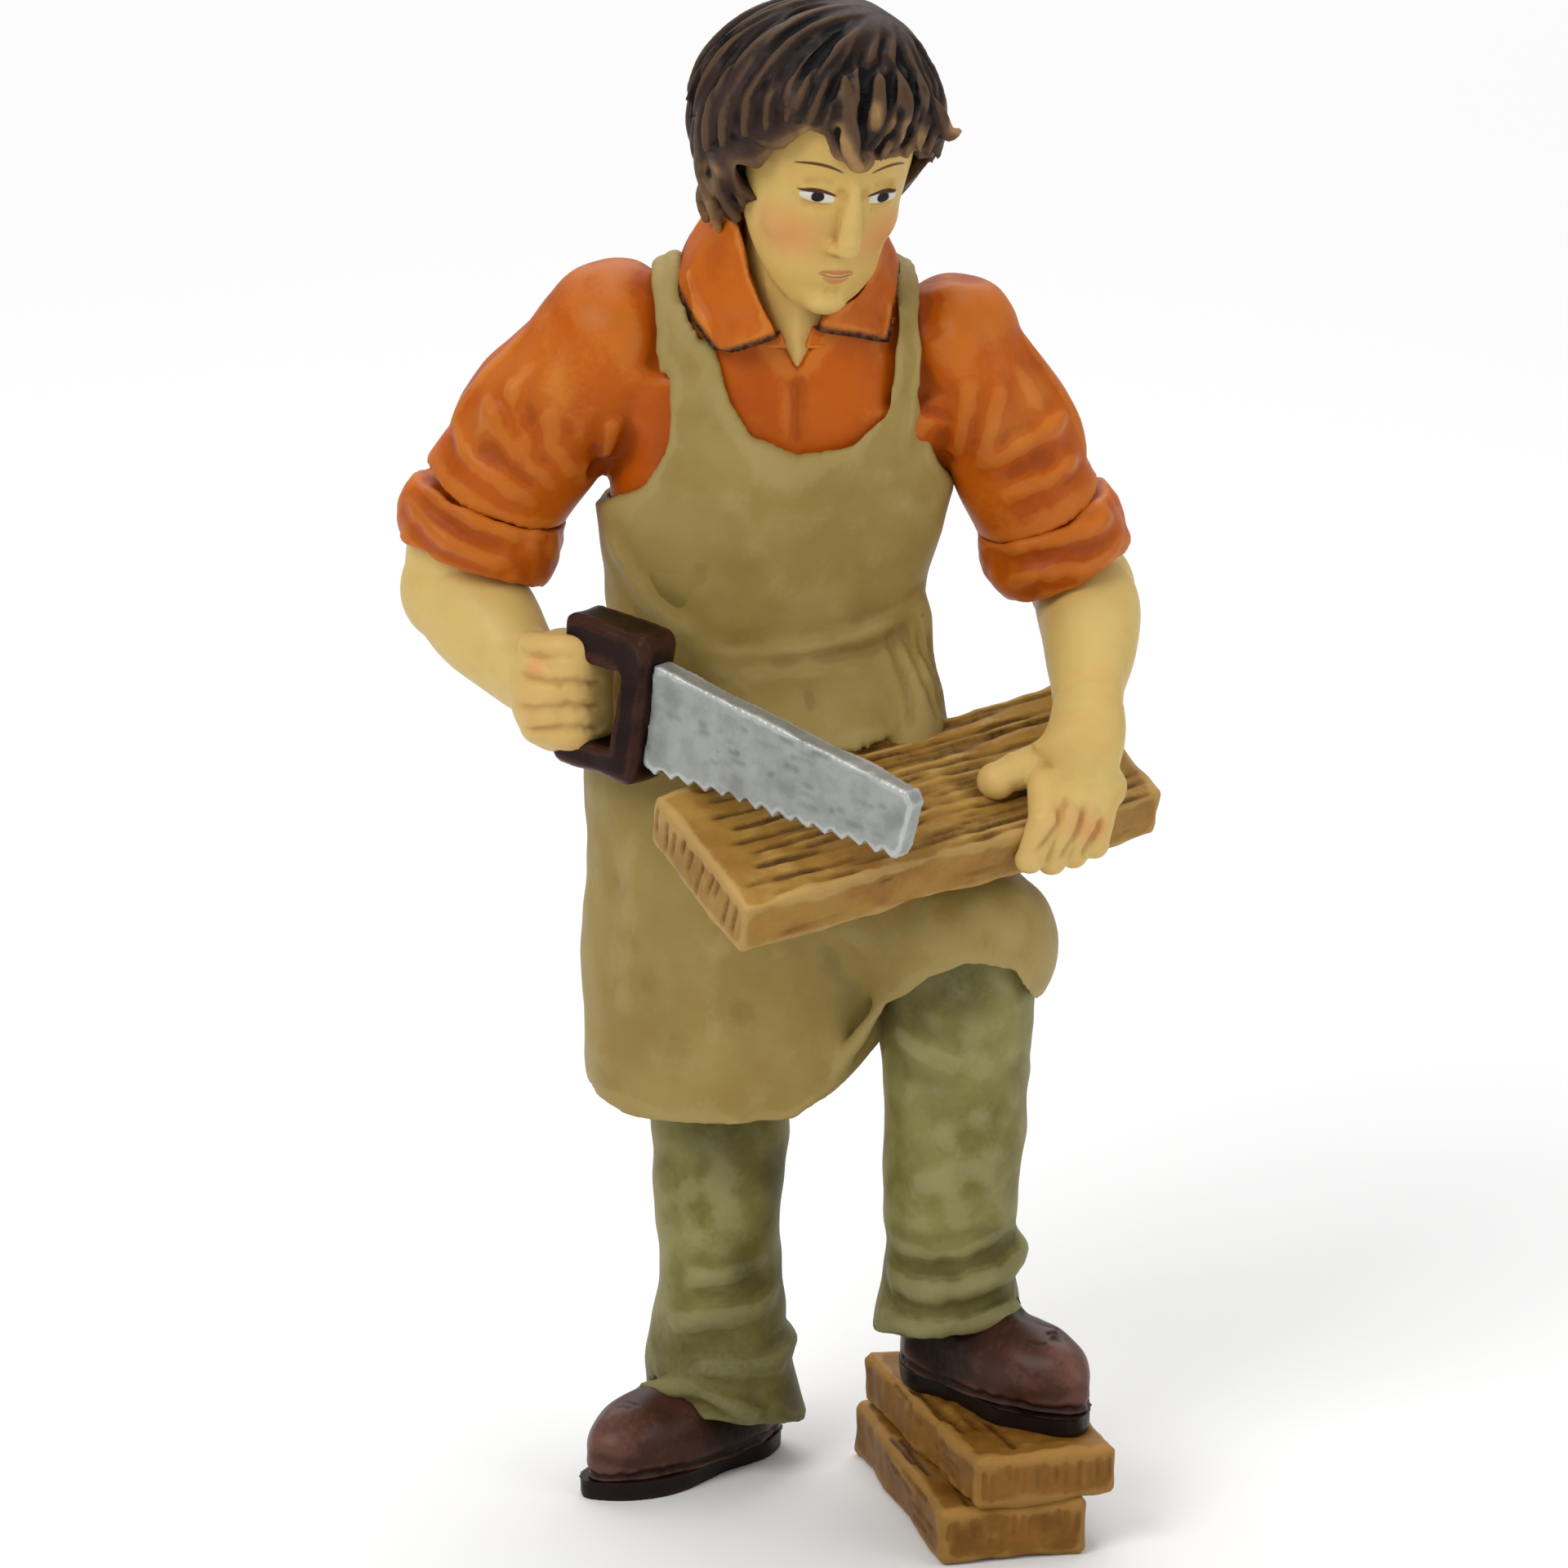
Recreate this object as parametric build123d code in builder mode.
"""Painted cast-resin figurine of a carpenter who saws a board across a raised knee.

Units are millimetres. The figure faces -Y, +Z is up, and the work blocks and the right sole stand on Z = 0.
The dimensions below are in figure space, where the spine stands over X = Y = 0. STAND_AT then moves every
finished piece so that the origin is the centre of the footprint. An inner casting keeps its full shape,
and the pieces outside it are cut to fit round it.
"""

import os

from build123d import *

# ---------------------------------------------------------------- driving dimensions
STAND_AT = Vector(0.479, 7.884, 0)

# work blocks
BLOCK_WIDE, BLOCK_LONG, BLOCK_EDGE = 11.8, 26.6, 0.45
LOWER_BLOCK_HIGH, UPPER_BLOCK_HIGH = 4.6, 4.2
LOWER_BLOCK_AT, LOWER_BLOCK_TURN = (14.6, -6.6), 13.5
UPPER_BLOCK_AT, UPPER_BLOCK_TURN = (16.2, -6.6), 18.0
STEP_TOP = LOWER_BLOCK_HIGH + UPPER_BLOCK_HIGH

# shoes, heel to toe along their own +X; an upper's levels are (height, heel end, toe end, half width)
SHOE_LONG, SHOE_WIDE, SOLE_HIGH, SOLE_EDGE = 21.0, 8.2, 1.5, 0.25
SHOE_R_AT, SHOE_R_TURN = (-7.9, 1.4, 0.0), -135.0
SHOE_L_AT, SHOE_L_TURN = (16.5, -7.2, STEP_TOP), -48.0
TOE_LEVELS = ((0, -10.0, 10.0, 3.8), (2.4, -9.9, 9.9, 3.9), (4.4, -9.4, 8.3, 3.4))
THROAT_LEVELS = ((4.0, -9.3, 7.0, 3.2), (5.6, -8.8, 3.4, 3.0), (7.6, -8.3, 0.0, 2.8))

# skeleton: every limb is a row of stations (point, half width, half depth)
SHOULDER_R, SHOULDER_L = (-12.4, -0.4, 92.4), (11.9, -0.6, 92.4)
ELBOW_R, ELBOW_L = (-25.0, 1.5, 72.4), (23.2, 3.4, 72.0)
WRIST_R, WRIST_L = (-19.0, -6.0, 66.9), (23.2, -8.0, 65.6)
FIST, PALM_L = (-16.6, -8.6, 66.8), (22.9, -11.0, 63.0)
KNEE_L, HIP_L = (13.3, -8.4, 45.8), (4.6, 1.2, 53.5)

LEG_R = (((-5.9, 2.2, 48.5), 6.3, 6.9), ((-5.6, 2.1, 40), 6.0, 6.5), ((-5.3, 2.2, 30), 5.5, 5.9),
         ((-5.1, 2.6, 18), 5.0, 5.5), ((-4.9, 3.4, 9.5), 5.6, 6.2), ((-4.6, 4.0, 3.4), 6.4, 7.0))
SHIN_L = (((13.3, -4.2, 12.6), 6.2, 6.7), ((13.1, -4.4, 18), 5.5, 5.9), ((13.2, -5.6, 28), 5.4, 5.8),
          ((13.3, -7.2, 38), 5.7, 6.0), ((13.3, -8.4, 46.0), 6.1, 6.2))
THIGH_L = ((KNEE_L, 6.2, 6.2), (HIP_L, 7.4, 7.4))
HEM_R = Plane(origin=(-5, 4, 3.4), x_dir=(1, 0, 0), z_dir=(0.05, 0.30, 1.0))
HEM_L = Plane(origin=(13.3, -4.2, 13.2), x_dir=(1, 0, 0), z_dir=(0.10, 0.34, 1.0))

SLEEVE_R = ((SHOULDER_R, 6.2, 6.3), ((-17.2, 0.1, 87.0), 6.0, 6.0), ((-20.6, 0.6, 82.6), 5.8, 5.9),
            ((-22.6, 0.9, 79.6), 5.9, 5.9))
SLEEVE_L = ((SHOULDER_L, 6.1, 6.2), ((15.3, 0.0, 87.0), 5.2, 5.5), ((17.9, 0.8, 82.2), 5.0, 5.2),
            ((19.9, 1.6, 78.6), 5.2, 5.3))
CUFF_R = (((-22.6, 0.9, 79.6), 6.1, 6.2), ((-23.2, 1.0, 77.8), 6.6, 6.6), ((-24.1, 1.1, 75.2), 6.1, 6.1))
CUFF_L = (((19.9, 1.6, 78.6), 5.5, 5.6), ((20.6, 1.9, 76.8), 5.9, 6.0), ((21.8, 2.4, 74.2), 5.5, 5.6))
UPPER_ARM_R = (((-24.6, 1.2, 77.0), 4.3, 4.2), (ELBOW_R, 4.5, 4.4))
UPPER_ARM_L = (((21.3, 2.2, 76.0), 3.8, 3.8), (ELBOW_L, 3.9, 3.9))
FOREARM_R = ((ELBOW_R, 4.4, 4.4), ((-22.8, -1.6, 70.1), 4.2, 4.3), ((-20.7, -4.2, 68.2), 3.5, 3.6),
             (WRIST_R, 3.0, 3.1))
FOREARM_L = ((ELBOW_L, 3.8, 3.8), ((23.6, -0.8, 69.9), 3.9, 3.9), ((23.4, -4.8, 67.4), 3.2, 3.2),
             (WRIST_L, 2.7, 2.6))
ELBOW_ROUND_R, ELBOW_ROUND_L, SHOULDER_ROUND_R, SHOULDER_ROUND_L, KNEE_ROUND_L = 4.7, 4.1, 6.3, 6.2, 6.3

# trunk: every level is (height, centre x, centre y, half width, half depth)
SEAT = ((47.5, -1.3, 2.8, 11.0, 7.6), (52, -1.4, 2.6, 12.4, 8.8), (60, -1.5, 2.2, 12.3, 8.6),
        (66, -1.5, 1.8, 11.6, 8.2))
TORSO = ((66, -1.5, 1.8, 11.6, 8.2), (71, -1.4, 1.1, 11.4, 8.1), (79, -0.9, 0.4, 12.6, 8.2),
         (87, -0.4, -0.2, 13.2, 7.8), (92.5, 0, -0.8, 12.6, 7.0), (96.4, 0.4, -1.4, 10.4, 6.0),
         (99.2, 0.7, -2.2, 6.6, 4.9))
NECK = (((0.5, -1.4, 93.0), 5.2, 5.0), ((0.9, -2.6, 97.0), 4.7, 4.7), ((1.7, -4.2, 102.0), 4.6, 4.9),
        ((2.1, -5.0, 105.0), 4.4, 4.8))
COLLAR = (((0.3, -1.4, 94.2), 9.6, 8.8), ((0.5, -2.0, 97.4), 9.0, 8.0), ((0.8, -2.8, 100.6), 7.5, 7.0),
          ((1.0, -3.4, 103.2), 6.2, 6.2))
COLLAR_OPENING = ((0.9, 91.0), (-2.6, 99.0), (-4.2, 106.0), (6.4, 106.0), (4.8, 99.0))
COLLAR_OPENING_BACK = -3.4

# head: the centre of the skull, how far it turns, nods and leans, and its levels, each (height, distance
# forward, half width, half depth)
HEAD_CENTRE = (2.8, -6.6, 108.2)
HEAD_TURN, HEAD_NOD, HEAD_LEAN = 20.0, 20.0, 5.0
HEAD_LEVELS = ((-10.3, 5.0, 1.9, 1.5), (-9.3, 4.5, 3.2, 2.6), (-6.6, 2.6, 5.0, 4.9), (-2.5, 0.6, 6.2, 6.8),
               (2.5, -0.2, 6.7, 7.4), (6.5, -0.4, 5.9, 6.7), (9.2, -0.4, 3.4, 4.2))
HAIR_CENTRE, HAIR_HALF = (-0.5, 1.3, 2.2), (9.4, 9.0, 8.8)
HAIRLINE_HIGH, HAIR_FRONT, NAPE_HIGH = 3.0, -1.5, -5.0

# board
BOARD_LONG, BOARD_WIDE, BOARD_THICK, BOARD_EDGE = 36.9, 14.6, 4.5, 0.5
BOARD_TOP = Plane(origin=(9.61, -12.49, 59.63), x_dir=(0.867, 0.484, 0.121), z_dir=(0.106, -0.412, 0.902))

# saw: its plane runs from heel to tip along +X, with the tooth points along Y = 0
SAW_LONG, SAW_HEEL_HIGH, SAW_TIP_HIGH, SAW_THICK = 24.0, 8.5, 5.4, 1.9
SAW_HEEL, SAW_FORWARD = Vector(-10.2, -12.6, 61.6), Vector(0.795, -0.58, -0.132)
TOOTH_COUNT, TOOTH_DEEP, TOOTH_POINT_AT = 15, 0.6, 0.72
NOSE_LONG, NOSE_CLIP = 0.6, 0.9
TANG_LONG, TANG_INSET, TANG_SHOULDER = 1.9, 0.35, 1.2
HANDLE_DEEP, HANDLE_HIGH, HANDLE_THICK, HANDLE_CORNER, HANDLE_EDGE = 8.2, 11.0, 4.2, 1.1, 0.5
GRIP_DEEP, GRIP_HIGH = 3.6, 6.4

# hands: a fist on the saw; on the board, each finger's knuckle and tip along it, and how far the tip drops
FIST_WIDE, FIST_DEEP, FIST_HIGH, FIST_CORNER, FIST_EDGE = 6.6, 6.4, 8.6, 2.2, 1.6
FINGERS = ((8.7, 5.9, 1.9), (10.3, 8.0, 2.6), (11.8, 10.0, 2.6), (13.2, 11.8, 2.3))
FINGER_R, THUMB_R = 1.15, 1.35

# apron; outlines are drawn from the front as (x, height)
APRON_THICK = 0.9
BIB_OUTLINE = (
    (-9.9, 104), (-9.4, 95), (-8.5, 91), (-8.9, 85.6), (-10.6, 82), (-15, 79), (-15, 67.6), (14, 67.6),
    (14, 79), (11.6, 84), (10.9, 88), (10.4, 93), (9.6, 99), (9.4, 104), (7.6, 104), (8.6, 93), (7.6, 88),
    (5.2, 85.6), (1.0, 84.7), (-2.6, 86.2), (-4.2, 89), (-5.4, 93), (-8.2, 100), (-8.4, 104),
)
STRAP_OUTLINE = ((-10.0, 90), (-10.0, 104), (10.0, 104), (10.0, 90), (7.6, 92), (-7.2, 92))
TIE = ((67.6, -1.5, 1.4, 12.0, 8.9), (70.0, -1.5, 1.1, 11.9, 8.7))
BOW_AT, BOW_TAIL_ENDS, BOW_TAIL_R = (-1.5, 10.6, 68.8), ((-5.6, 11.6, 62.6), (2.4, 11.6, 61.6)), 0.75
SKIRT = ((67.6, -1.5, 1.3, 11.8, 8.8), (60, -1.5, 0.6, 12.9, 10.2), (50, -1.6, 0.4, 13.2, 10.0),
         (40, -2.4, 0.6, 12.4, 9.4), (28, -3.6, 0.6, 10.8, 9.0))
LAP_END, LAP_ROUND = (13.6, -8.6, 46.6), 7.5
LAP = (((2.0, 0.4, 56.0), 9.2, 9.4), ((8.6, -4.6, 51.0), 8.2, 8.2), (LAP_END, LAP_ROUND, LAP_ROUND))
BELOW_HEM = (
    (-20, 34.2), (-14.6, 32.6), (-10.4, 32.0), (-3.5, 31.9), (0.9, 32.3), (3.6, 34.2), (7.3, 38.0),
    (8.8, 42.4), (11.6, 45.8), (14.9, 46.9), (17.6, 46.0), (19.2, 42.9), (26, 42.0), (26, 20), (-20, 20),
)
SKIRT_OPENING = 11.0
SKIRT_FAR, SKIRT_BACK = 30.0, 5.0

# hidden pins and wires
PIN_R, WIRE_R, DOWEL_R = 0.8, 0.5, 0.6
DOWEL_REACH = 2.2
DOWEL_POINTS = ((17.2, -14.6), (14.0, 1.4))
FOOT_PIN_AT, FOOT_PIN_DOWN, FOOT_PIN_UP = (14.2, -4.6), 2.6, 3.4
ANKLE_R, ANKLE_L, ANKLE_LOW, ANKLE_HIGH = (-4.4, 4.6), (13.3, -3.6), 2.4, 13.0
NECK_PIN = ((0.5, -1.6, 88.0), (1.7, -5.0, 103.0))
SHOULDER_PINS = (((-6.5, -0.5, 90.5), (-15.0, -0.2, 89.0)), ((6.5, -0.6, 90.5), (14.6, -0.4, 89.0)))


# ---------------------------------------------------------------- shape helpers
def oval(plane, wide, deep):
    """A filled ellipse lying in the given plane."""
    with BuildSketch(plane, mode=Mode.PRIVATE) as face:
        Ellipse(wide, deep)
    return face.sketch


def limb(*stations):
    """Adds a loft through ellipses set square to the line of stations."""
    points = [Vector(*station[0]) for station in stations]
    ovals = []
    for i, (_, wide, deep) in enumerate(stations):
        along = points[min(i + 1, len(points) - 1)] - points[max(i - 1, 0)]
        ovals.append(oval(Plane(origin=points[i], x_dir=(1, 0.01, 0.02), z_dir=along), wide, deep))
    loft(ovals)


def trunk(*levels, grow=0.0):
    """Adds a loft through level ellipses, each grown by the same amount."""
    loft([oval(Plane(origin=(x, y, high), x_dir=(1, 0, 0), z_dir=(0, 0, 1)), wide + grow, deep + grow)
          for high, x, y, wide, deep in levels])


def ball(centre, radius):
    """Adds a sphere."""
    with Locations(centre):
        Sphere(radius)


def rod(start, end, radius):
    """Adds a round bar from start to end."""
    start, end = Vector(*start), Vector(*end)
    extrude(oval(Plane(origin=start, z_dir=end - start), radius, radius), amount=(end - start).length)


def finger(radius, *points):
    """Adds a bent finger: a bar for each bone, and a knuckle a little fatter than the bars."""
    for start, end in zip(points, points[1:]):
        rod(start, end, radius)
    for point in points:
        ball(point, radius * 1.05)


def between(start, end, part):
    """The point that lies a given part of the way from start to end."""
    return Vector(*start) + (Vector(*end) - Vector(*start)) * part


def cut_front_outline(points, deep_from, deep_to, mode=Mode.INTERSECT):
    """Keeps or removes what lies inside an outline drawn in the XZ plane, between two depths."""
    front_plane = Plane(origin=(0, deep_to, 0), x_dir=(1, 0, 0), z_dir=(0, -1, 0))
    with BuildSketch(front_plane, mode=Mode.PRIVATE) as front:
        with BuildLine():
            Polyline(*points, close=True)
        make_face()
    extrude(front.sketch, amount=deep_to - deep_from, mode=mode)


def cut_below(plane):
    """Removes what lies just under a slanted plane, such as a trouser hem."""
    with BuildSketch(plane, mode=Mode.PRIVATE) as under:
        Rectangle(30, 30)
    extrude(under.sketch, amount=-8, mode=Mode.SUBTRACT)


def fit_round(made, *castings):
    """Cuts the piece being made to fit round finished pieces, and drops the offcuts."""
    for casting in castings:
        add(casting.part, mode=Mode.SUBTRACT)
    add(made.part.solids().sort_by(SortBy.VOLUME)[-1], mode=Mode.REPLACE)


# ---------------------------------------------------------------- work blocks
def timber(at, turn, floor, high):
    """A sawn block with worn edges."""
    underside = Plane(origin=(*at, floor), x_dir=Vector(1, 0).rotate(Axis.Z, turn), z_dir=(0, 0, 1))
    with BuildPart(underside) as made:
        Box(BLOCK_WIDE, BLOCK_LONG, high, align=(Align.CENTER, Align.CENTER, Align.MIN))
        chamfer(made.edges(), BLOCK_EDGE)
    return made.part


with BuildPart() as block_dowels:
    for x, y in DOWEL_POINTS:
        rod((x, y, LOWER_BLOCK_HIGH - DOWEL_REACH), (x, y, LOWER_BLOCK_HIGH + DOWEL_REACH), DOWEL_R)

with BuildPart() as left_foot_pin:
    rod((*FOOT_PIN_AT, STEP_TOP - FOOT_PIN_DOWN), (*FOOT_PIN_AT, STEP_TOP + FOOT_PIN_UP), DOWEL_R)

with BuildPart() as lower_block:
    add(timber(LOWER_BLOCK_AT, LOWER_BLOCK_TURN, 0.0, LOWER_BLOCK_HIGH))
    fit_round(lower_block, block_dowels)

with BuildPart() as upper_block:
    add(timber(UPPER_BLOCK_AT, UPPER_BLOCK_TURN, LOWER_BLOCK_HIGH, UPPER_BLOCK_HIGH))
    fit_round(upper_block, block_dowels, left_foot_pin)


# ---------------------------------------------------------------- shoes
def shoe_plane(at, turn):
    """The plane of a shoe's tread, with +X towards the toe."""
    return Plane(origin=at, x_dir=Vector(1, 0).rotate(Axis.Z, turn), z_dir=(0, 0, 1))


def sole(at, turn):
    """The sole plate: a wide ball of the foot, a narrow waist and a round heel."""
    half, wide, waist = SHOE_LONG / 2, SHOE_WIDE / 2, SHOE_WIDE / 2 - 0.9
    toe_at, ball_at, waist_at, heel_at = 6.6, 3.6, -2.4, -6.6
    side = ((toe_at, wide - 0.5), (ball_at, wide), (waist_at, waist), (heel_at, waist))
    other_side = [(x, -y) for x, y in reversed(side)]
    with BuildPart() as made:
        with BuildSketch(shoe_plane(at, turn)):
            with BuildLine():
                Spline((half, 0), *side, (-half, 0), *other_side, periodic=True)
            make_face()
        extrude(amount=SOLE_HIGH)
        chamfer(made.faces().sort_by(Axis.Z)[0].edges(), SOLE_EDGE)
    return made.part


def shoe_upper(at, turn):
    """A low shoe: the toe cap swells from the welt, and the throat rises into the trouser leg."""
    with BuildPart() as made:
        for levels in (TOE_LEVELS, THROAT_LEVELS):
            for high, heel_end, toe_end, half_wide in levels:
                with BuildSketch(shoe_plane(at, turn).offset(SOLE_HIGH + high)):
                    with Locations(((toe_end + heel_end) / 2, 0)):
                        Ellipse((toe_end - heel_end) / 2, half_wide)
            loft()
    return made.part


with BuildPart() as ankle_wires:
    rod((*ANKLE_R, ANKLE_LOW), (*ANKLE_R, ANKLE_HIGH), WIRE_R)
    rod((*ANKLE_L, STEP_TOP + ANKLE_LOW), (*ANKLE_L, STEP_TOP + ANKLE_HIGH), WIRE_R)

with BuildPart() as right_sole:
    add(sole(SHOE_R_AT, SHOE_R_TURN))

with BuildPart() as left_sole:
    add(sole(SHOE_L_AT, SHOE_L_TURN))
    fit_round(left_sole, left_foot_pin)

with BuildPart() as right_shoe:
    add(shoe_upper(SHOE_R_AT, SHOE_R_TURN))
    fit_round(right_shoe, ankle_wires)

with BuildPart() as left_shoe:
    add(shoe_upper(SHOE_L_AT, SHOE_L_TURN))
    fit_round(left_shoe, ankle_wires, left_foot_pin)


# ---------------------------------------------------------------- trousers
with BuildPart() as trouser_seat:
    trunk(*SEAT)

with BuildPart() as right_trouser_leg:
    limb(*LEG_R)
    cut_below(HEM_R)
    fit_round(right_trouser_leg, trouser_seat, right_shoe, right_sole, ankle_wires)

with BuildPart() as left_trouser_leg:
    limb(*SHIN_L)
    ball(KNEE_L, KNEE_ROUND_L)
    limb(*THIGH_L)
    cut_below(HEM_L)
    fit_round(left_trouser_leg, trouser_seat, right_trouser_leg, left_shoe, ankle_wires)


# ---------------------------------------------------------------- shirt, sleeves and forearms
with BuildPart() as neck_pin:
    rod(*NECK_PIN, PIN_R)

with BuildPart() as shoulder_pins:
    for inner_end, outer_end in SHOULDER_PINS:
        rod(inner_end, outer_end, PIN_R)

with BuildPart() as wrist_pins:
    rod(between(WRIST_R, ELBOW_R, 0.35), between(WRIST_R, FIST, 0.6), WIRE_R)
    rod(between(WRIST_L, ELBOW_L, 0.3), between(WRIST_L, ELBOW_L, -0.18), WIRE_R)

with BuildPart() as shirt_torso:
    trunk(*TORSO)
    fit_round(shirt_torso, neck_pin, shoulder_pins)

with BuildPart() as right_forearm:
    limb(*UPPER_ARM_R)
    ball(ELBOW_R, ELBOW_ROUND_R)
    limb(*FOREARM_R)
    fit_round(right_forearm, wrist_pins)

with BuildPart() as left_forearm:
    limb(*UPPER_ARM_L)
    ball(ELBOW_L, ELBOW_ROUND_L)
    limb(*FOREARM_L)
    fit_round(left_forearm, wrist_pins)

with BuildPart() as right_cuff:
    limb(*CUFF_R)
    fit_round(right_cuff, right_forearm)

with BuildPart() as left_cuff:
    limb(*CUFF_L)
    fit_round(left_cuff, left_forearm)

with BuildPart() as right_sleeve:
    ball(SHOULDER_R, SHOULDER_ROUND_R)
    limb(*SLEEVE_R)
    fit_round(right_sleeve, shirt_torso, shoulder_pins, right_forearm, right_cuff)

with BuildPart() as left_sleeve:
    ball(SHOULDER_L, SHOULDER_ROUND_L)
    limb(*SLEEVE_L)
    fit_round(left_sleeve, shirt_torso, shoulder_pins, left_forearm, left_cuff)


# ---------------------------------------------------------------- head, hair and collar
HEAD = Plane(
    Location(HEAD_CENTRE) * Location((0, 0, 0), (0, 0, HEAD_TURN))
    * Location((0, 0, 0), (HEAD_NOD, 0, 0)) * Location((0, 0, 0), (0, HEAD_LEAN, 0))
)


def skull_cap(centre, half_sizes):
    """An ellipsoid placed in the head's own directions."""
    round_cap = scale(Solid.make_sphere(1.0), by=half_sizes, mode=Mode.PRIVATE)
    return HEAD.location * Location(centre) * round_cap


with BuildPart() as neck:
    limb(*NECK)
    fit_round(neck, shirt_torso)

with BuildPart() as head:
    for high, forward, half_wide, half_deep in HEAD_LEVELS:
        with BuildSketch(HEAD.offset(high)):
            with Locations((0, -forward)):
                Ellipse(half_wide, half_deep)
    loft()
    add(neck.part)
    fit_round(head, shirt_torso, neck_pin)

with BuildPart() as hair:
    add(skull_cap(HAIR_CENTRE, HAIR_HALF))
    with Locations(HEAD.location * Location((0, HAIR_FRONT, HAIRLINE_HIGH))):
        Box(24, 15, 18, align=(Align.CENTER, Align.MAX, Align.MAX), mode=Mode.SUBTRACT)
    with Locations(HEAD.location * Location((0, 0, NAPE_HIGH))):
        Box(30, 30, 12, align=(Align.CENTER, Align.CENTER, Align.MAX), mode=Mode.SUBTRACT)
    fit_round(hair, head, neck_pin)

with BuildPart() as collar:
    limb(*COLLAR)
    cut_front_outline(COLLAR_OPENING, -20, COLLAR_OPENING_BACK, mode=Mode.SUBTRACT)
    fit_round(collar, head, hair, shirt_torso, right_sleeve, left_sleeve, neck_pin)


# ---------------------------------------------------------------- board and saw
with BuildPart(BOARD_TOP) as board:
    Box(BOARD_LONG, BOARD_WIDE, BOARD_THICK, align=(Align.CENTER, Align.CENTER, Align.MAX))
    fillet(board.edges(), BOARD_EDGE)

SAW = Plane(origin=SAW_HEEL, x_dir=SAW_FORWARD, z_dir=SAW_FORWARD.cross(Vector(0, 0, 1)))
HANDLE_MIDDLE = (-HANDLE_DEEP / 2, SAW_HEEL_HIGH / 2)

with BuildPart() as saw_blade:
    pitch = SAW_LONG / TOOTH_COUNT
    teeth = []
    for tooth in range(TOOTH_COUNT):
        teeth += [(tooth * pitch, TOOTH_DEEP), ((tooth + TOOTH_POINT_AT) * pitch, 0)]
    nose = ((SAW_LONG, NOSE_CLIP), (SAW_LONG + NOSE_LONG, SAW_TIP_HIGH - NOSE_CLIP), (SAW_LONG, SAW_TIP_HIGH))
    with BuildSketch(SAW):
        with BuildLine():
            Polyline(*teeth, *nose, (0, SAW_HEEL_HIGH), close=True)
        make_face()
    extrude(amount=SAW_THICK / 2, both=True)
    with BuildSketch(SAW):
        with Locations((0, SAW_HEEL_HIGH / 2)):
            Rectangle(2 * TANG_LONG, SAW_HEEL_HIGH - 2 * TANG_SHOULDER)
    extrude(amount=SAW_THICK / 2 - TANG_INSET, both=True)

with BuildPart() as saw_handle:
    with BuildSketch(SAW):
        with Locations(HANDLE_MIDDLE):
            RectangleRounded(HANDLE_DEEP, HANDLE_HIGH, HANDLE_CORNER)
            RectangleRounded(GRIP_DEEP, GRIP_HIGH, HANDLE_CORNER / 2, mode=Mode.SUBTRACT)
    extrude(amount=HANDLE_THICK / 2, both=True)
    cheeks = saw_handle.faces().sort_by(Axis(SAW.origin, SAW.z_dir))
    chamfer(cheeks[0].outer_wire().edges() + cheeks[-1].outer_wire().edges(), HANDLE_EDGE)
    fit_round(saw_handle, saw_blade)


# ---------------------------------------------------------------- hands
FIST_PLANE = Plane(origin=FIST, x_dir=(0.80, -0.60, 0), z_dir=(0, 0, 1))

with BuildPart() as right_hand:
    with BuildSketch(FIST_PLANE.offset(-FIST_HIGH / 2)):
        RectangleRounded(FIST_WIDE, FIST_DEEP, FIST_CORNER)
    extrude(amount=FIST_HIGH)
    fillet(right_hand.edges().filter_by(Plane.XY), FIST_EDGE)
    limb((WRIST_R, 3.0, 3.1), (FIST, 3.0, 3.4))
    fit_round(right_hand, right_forearm, wrist_pins, saw_handle, saw_blade)


def on_board(along, across, above):
    """A point given along and across the board from its centre, and above its top face."""
    return BOARD_TOP.from_local_coords(Vector(along, across, above))


with BuildPart() as left_hand:
    limb((between(WRIST_L, ELBOW_L, 0.15), 2.3, 2.2), (WRIST_L, 2.6, 2.5), (PALM_L, 3.2, 2.4),
         (on_board(11.2, -4.0, 2.0), 3.4, 1.9))
    finger(THUMB_R, on_board(11.0, -2.4, 2.2), on_board(7.9, -2.1, 1.5), on_board(6.2, -2.3, 1.1))
    for knuckle_at, tip_at, drop in FINGERS:
        bend_at = (knuckle_at + tip_at) / 2
        bones = on_board(knuckle_at, -4.9, 1.9), on_board(bend_at, -7.5, 0.9), on_board(tip_at, -8.4, -drop)
        finger(FINGER_R, *bones)
    fit_round(left_hand, left_forearm, wrist_pins, board)


# ---------------------------------------------------------------- apron
with BuildPart() as waist_tie:
    trunk(*TIE, grow=APRON_THICK)
    with Locations((0, 0, TIE[0][0] - 1)):
        Box(40, 20, 6, align=(Align.CENTER, Align.MAX, Align.MIN), mode=Mode.SUBTRACT)
    with Locations(BOW_AT):
        Box(4.2, 2.4, 2.3)
    for tail_end in BOW_TAIL_ENDS:
        rod(BOW_AT, tail_end, BOW_TAIL_R)
    fit_round(waist_tie, shirt_torso, trouser_seat)

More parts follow.
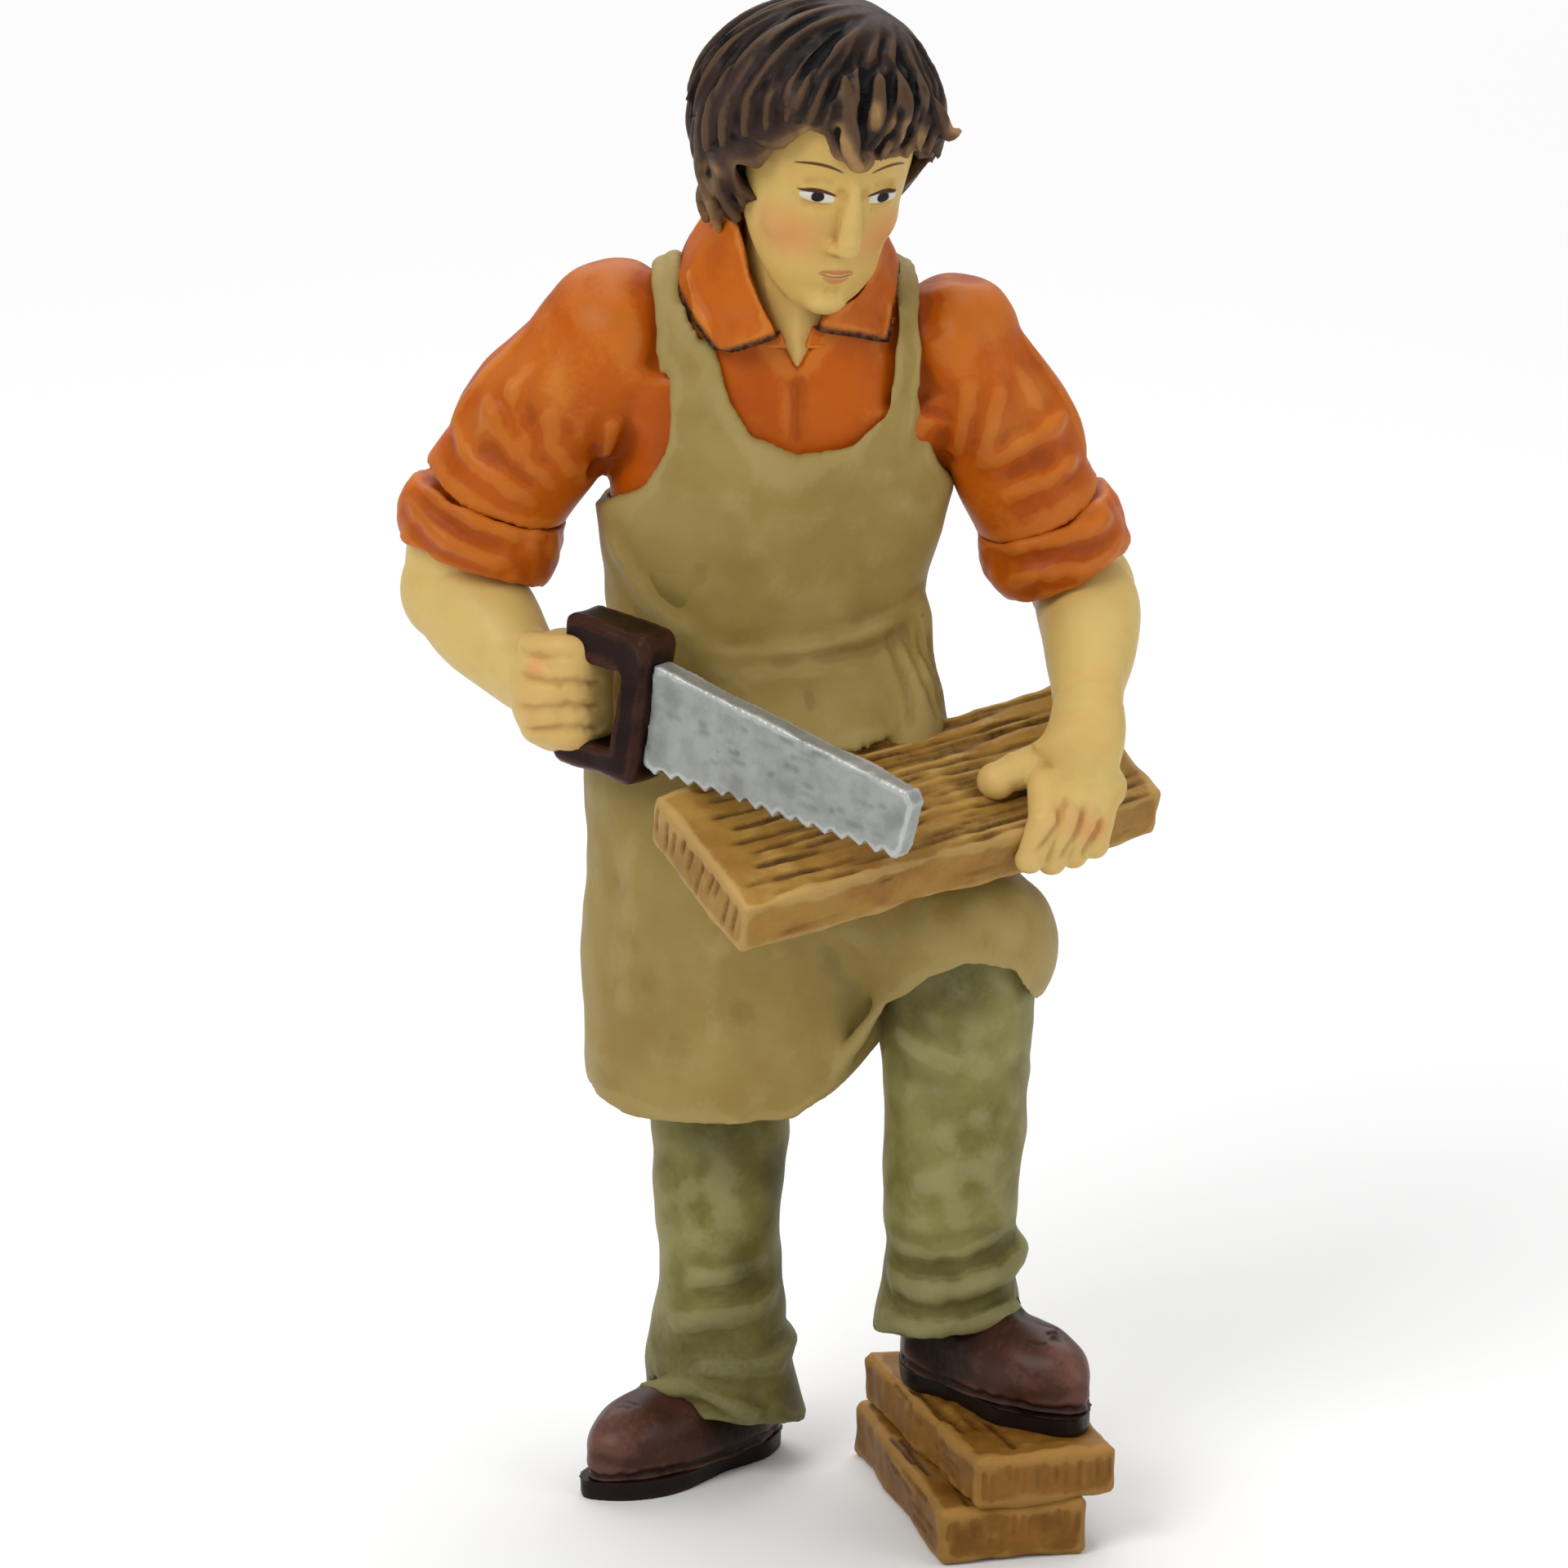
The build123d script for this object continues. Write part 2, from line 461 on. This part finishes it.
with BuildPart() as apron_bib:
    trunk(*TORSO[:-1], grow=APRON_THICK)
    cut_front_outline(BIB_OUTLINE, -20, 3)
    fit_round(apron_bib, shirt_torso, waist_tie, right_sleeve, left_sleeve, collar, neck)

with BuildPart() as neck_strap:
    trunk(*TORSO[3:], grow=APRON_THICK)
    cut_front_outline(STRAP_OUTLINE, 3, 20)
    fit_round(neck_strap, shirt_torso, right_sleeve, left_sleeve, collar, neck, neck_pin)

with BuildPart() as apron_skirt:
    trunk(*SKIRT, grow=APRON_THICK)
    limb(*LAP)
    ball(LAP_END, LAP_ROUND)
    cut_front_outline(BELOW_HEM, -SKIRT_FAR, SKIRT_FAR, mode=Mode.SUBTRACT)
    with Locations((-1.2, SKIRT_BACK, 50.0)):
        Box(SKIRT_OPENING, 20, 60, align=(Align.CENTER, Align.MIN, Align.CENTER), mode=Mode.SUBTRACT)
    fit_round(apron_skirt, trouser_seat, right_trouser_leg, left_trouser_leg, board, waist_tie, shirt_torso)


# ---------------------------------------------------------------- hand in
PIECES = {
    "lower_block": lower_block, "upper_block": upper_block, "block_dowels": block_dowels,
    "left_foot_pin": left_foot_pin, "ankle_wires": ankle_wires, "right_sole": right_sole,
    "left_sole": left_sole, "right_shoe": right_shoe, "left_shoe": left_shoe, "trouser_seat": trouser_seat,
    "right_trouser_leg": right_trouser_leg, "left_trouser_leg": left_trouser_leg, "neck_pin": neck_pin,
    "shoulder_pins": shoulder_pins, "shirt_torso": shirt_torso, "right_sleeve": right_sleeve,
    "left_sleeve": left_sleeve, "right_cuff": right_cuff, "left_cuff": left_cuff,
    "right_forearm": right_forearm, "left_forearm": left_forearm, "wrist_pins": wrist_pins,
    "right_hand": right_hand, "left_hand": left_hand, "head": head, "hair": hair, "collar": collar,
    "board": board, "saw_blade": saw_blade, "saw_handle": saw_handle, "apron_bib": apron_bib,
    "neck_strap": neck_strap, "waist_tie": waist_tie, "apron_skirt": apron_skirt,
}

os.makedirs("parts", exist_ok=True)
for name, piece in PIECES.items():
    finished = piece.part.moved(Location(STAND_AT))
    finished.label = name
    export_step(finished, f"parts/{name}.step")
